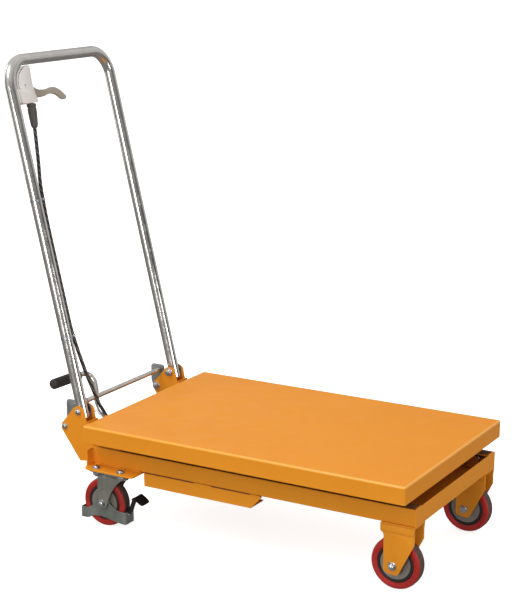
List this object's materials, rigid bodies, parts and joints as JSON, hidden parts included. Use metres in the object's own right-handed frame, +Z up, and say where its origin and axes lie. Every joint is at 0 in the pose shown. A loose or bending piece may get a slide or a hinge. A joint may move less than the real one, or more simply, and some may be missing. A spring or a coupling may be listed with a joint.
{
  "type": "scissor lift table",
  "caption": "Wheeled scissor lift table with a flat tray deck, foot pump pedal, folding tubular push handle with release lever, braked swivel casters and fixed front wheels.",
  "frame": {"origin": "on the floor, under the centre of the overall bounding box", "axes": "+X to the front end away from the push handle, +Y to the left side as seen from the handle, +Z up"},
  "size_m": [0.9284, 0.45, 0.9316],
  "materials": {
    "orange_paint": "smooth powder coat, semi-gloss",
    "zinc_steel": "bright zinc plate",
    "chrome_steel": "hard chrome, polished",
    "grey_steel": "dull grey pressed steel",
    "red_polyurethane": "cast polyurethane tread, satin",
    "hub_grey": "moulded wheel centre, matt",
    "black_rubber": "ribbed black rubber",
    "black_paint": "black stove enamel",
    "cast_aluminium": "light grey cast finish",
    "olive_plastic": "olive grey moulding"
  },
  "bodies": {
    "base": {"base_rail_left": "orange_paint", "base_rail_right": "orange_paint", "front_crossmember": "orange_paint", "rear_crossmember": "orange_paint", "skirt_plate_left": "orange_paint", "skirt_plate_right": "orange_paint", "caster_shelf_left": "orange_paint", "caster_shelf_right": "orange_paint", "caster_plate_left": "grey_steel", "caster_plate_right": "grey_steel", "front_fork_left": "orange_paint", "front_fork_right": "orange_paint", "front_axle_left": "zinc_steel", "front_axle_right": "zinc_steel", "handle_bracket_left": "orange_paint", "handle_bracket_right": "orange_paint", "handle_pivot_bolt_left": "zinc_steel", "handle_pivot_bolt_right": "zinc_steel", "base_pivot_shaft": "grey_steel", "cylinder_beam": "orange_paint", "pump_block": "black_paint", "cable_lower": "black_rubber"},
    "inner_arms": {"inner_arm_left": "orange_paint", "inner_arm_right": "orange_paint", "inner_arm_tube": "orange_paint"},
    "outer_arms": {"outer_arm_left": "orange_paint", "outer_arm_right": "orange_paint", "outer_arm_tube": "orange_paint"},
    "platform": {"platform_deck": "orange_paint", "platform_lug_left": "orange_paint", "platform_lug_right": "orange_paint"},
    "lower_roller_left": {"lower_roller_left": "grey_steel"},
    "lower_roller_right": {"lower_roller_right": "grey_steel"},
    "upper_roller_left": {"upper_roller_left": "grey_steel"},
    "upper_roller_right": {"upper_roller_right": "grey_steel"},
    "ram_barrel": {"cylinder_barrel": "black_paint"},
    "ram_rod": {"piston_rod": "chrome_steel"},
    "handle": {"handle_tube": "zinc_steel", "lever_housing": "cast_aluminium", "cable_upper": "black_rubber"},
    "release_lever": {"release_lever": "olive_plastic"},
    "handle_lock": {"lock_rod": "zinc_steel", "lock_plate_left": "grey_steel", "lock_plate_right": "grey_steel"},
    "pedal": {"pedal_arm": "zinc_steel", "pedal_grip": "black_rubber"},
    "front_wheel_left": {"front_tyre_left": "red_polyurethane", "front_hub_left": "hub_grey"},
    "front_wheel_right": {"front_tyre_right": "red_polyurethane", "front_hub_right": "hub_grey"},
    "caster_left": {"caster_fork_left": "grey_steel", "caster_axle_left": "zinc_steel"},
    "caster_wheel_left": {"caster_tyre_left": "red_polyurethane", "caster_hub_left": "hub_grey"},
    "caster_brake_left": {"brake_band_left": "grey_steel"},
    "caster_right": {"caster_fork_right": "grey_steel", "caster_axle_right": "zinc_steel"},
    "caster_wheel_right": {"caster_tyre_right": "red_polyurethane", "caster_hub_right": "hub_grey"},
    "caster_brake_right": {"brake_band_right": "grey_steel"}
  },
  "joints": [
    {"name": "lift", "type": "hinge", "parent": "base", "child": "inner_arms", "pos_m": [-0.1858, 0, 0.1485], "axis": [0, -1, 0], "range_deg": [0, 59.3]},
    {"name": "outer_arm_pivot", "type": "hinge", "parent": "inner_arms", "child": "outer_arms", "pos_m": [0.12047, 0, 0.176], "axis": [0, -1, 0], "range_deg": [-118.6, 0]},
    {"name": "platform_pivot", "type": "hinge", "parent": "outer_arms", "child": "platform", "pos_m": [-0.1858, 0, 0.2035], "axis": [0, -1, 0], "range_deg": [0, 59.3]},
    {"name": "ram_barrel_pivot", "type": "hinge", "parent": "base", "child": "ram_barrel", "pos_m": [-0.0473, 0, 0.1], "axis": [0, -1, 0], "range_deg": [0, 66.26]},
    {"name": "ram_rod_pivot", "type": "hinge", "parent": "outer_arms", "child": "ram_rod", "pos_m": [0.16265, 0, 0.1778], "axis": [0, -1, 0], "range_deg": [0, 125.56]},
    {"name": "lower_roller_spin_left", "type": "hinge", "parent": "outer_arms", "child": "lower_roller_left", "pos_m": [0.42674, 0.1685, 0.1485], "axis": [0, 1, 0], "continuous": true},
    {"name": "upper_roller_spin_left", "type": "hinge", "parent": "inner_arms", "child": "upper_roller_left", "pos_m": [0.42674, 0.1585, 0.2035], "axis": [0, 1, 0], "continuous": true},
    {"name": "lower_roller_spin_right", "type": "hinge", "parent": "outer_arms", "child": "lower_roller_right", "pos_m": [0.42674, -0.1685, 0.1485], "axis": [0, 1, 0], "continuous": true},
    {"name": "upper_roller_spin_right", "type": "hinge", "parent": "inner_arms", "child": "upper_roller_right", "pos_m": [0.42674, -0.1585, 0.2035], "axis": [0, 1, 0], "continuous": true},
    {"name": "handle_fold", "type": "hinge", "parent": "base", "child": "handle", "pos_m": [-0.2868, 0, 0.2305], "axis": [0, -1, 0], "range_deg": [-102, 0]},
    {"name": "release_lever_pivot", "type": "hinge", "parent": "handle", "child": "release_lever", "pos_m": [-0.44047, -0.134, 0.86928], "axis": [0.9723, 0, 0.2339], "range_deg": [0, 18], "stiffness_Nm_per_rad": 1, "springref_deg": -17.19},
    {"name": "handle_lock_pivot", "type": "hinge", "parent": "base", "child": "handle_lock", "pos_m": [-0.3208, 0, 0.196], "axis": [0, -1, 0], "range_deg": [0, 30]},
    {"name": "pedal_pivot", "type": "hinge", "parent": "base", "child": "pedal", "pos_m": [-0.2638, -0.058, 0.15], "axis": [0, -1, 0], "range_deg": [0, 38], "stiffness_Nm_per_rad": 1.5, "springref_deg": -40.11},
    {"name": "front_wheel_spin_left", "type": "hinge", "parent": "base", "child": "front_wheel_left", "pos_m": [0.4142, 0.163, 0.05], "axis": [0, 1, 0], "continuous": true},
    {"name": "caster_swivel_left", "type": "hinge", "parent": "base", "child": "caster_left", "pos_m": [-0.1978, 0.172, 0.11], "axis": [0, 0, 1], "continuous": true},
    {"name": "caster_wheel_spin_left", "type": "hinge", "parent": "caster_left", "child": "caster_wheel_left", "pos_m": [-0.2278, 0.172, 0.05], "axis": [0, 1, 0], "continuous": true},
    {"name": "caster_brake_pivot_left", "type": "hinge", "parent": "caster_left", "child": "caster_brake_left", "pos_m": [-0.2278, 0.172, 0.05], "axis": [0, 1, 0], "range_deg": [0, 10]},
    {"name": "front_wheel_spin_right", "type": "hinge", "parent": "base", "child": "front_wheel_right", "pos_m": [0.4142, -0.163, 0.05], "axis": [0, 1, 0], "continuous": true},
    {"name": "caster_swivel_right", "type": "hinge", "parent": "base", "child": "caster_right", "pos_m": [-0.1978, -0.172, 0.11], "axis": [0, 0, 1], "continuous": true},
    {"name": "caster_wheel_spin_right", "type": "hinge", "parent": "caster_right", "child": "caster_wheel_right", "pos_m": [-0.2278, -0.172, 0.05], "axis": [0, 1, 0], "continuous": true},
    {"name": "caster_brake_pivot_right", "type": "hinge", "parent": "caster_right", "child": "caster_brake_right", "pos_m": [-0.2278, -0.172, 0.05], "axis": [0, 1, 0], "range_deg": [0, 10]}
  ],
  "couplings": [
    {"joint": "outer_arm_pivot", "follows": "lift", "ratio": -2},
    {"joint": "platform_pivot", "follows": "lift", "ratio": 1},
    {"joint": "ram_barrel_pivot", "follows": "lift", "ratio": 1.1172},
    {"joint": "ram_rod_pivot", "follows": "lift", "ratio": 2.1172}
  ]
}
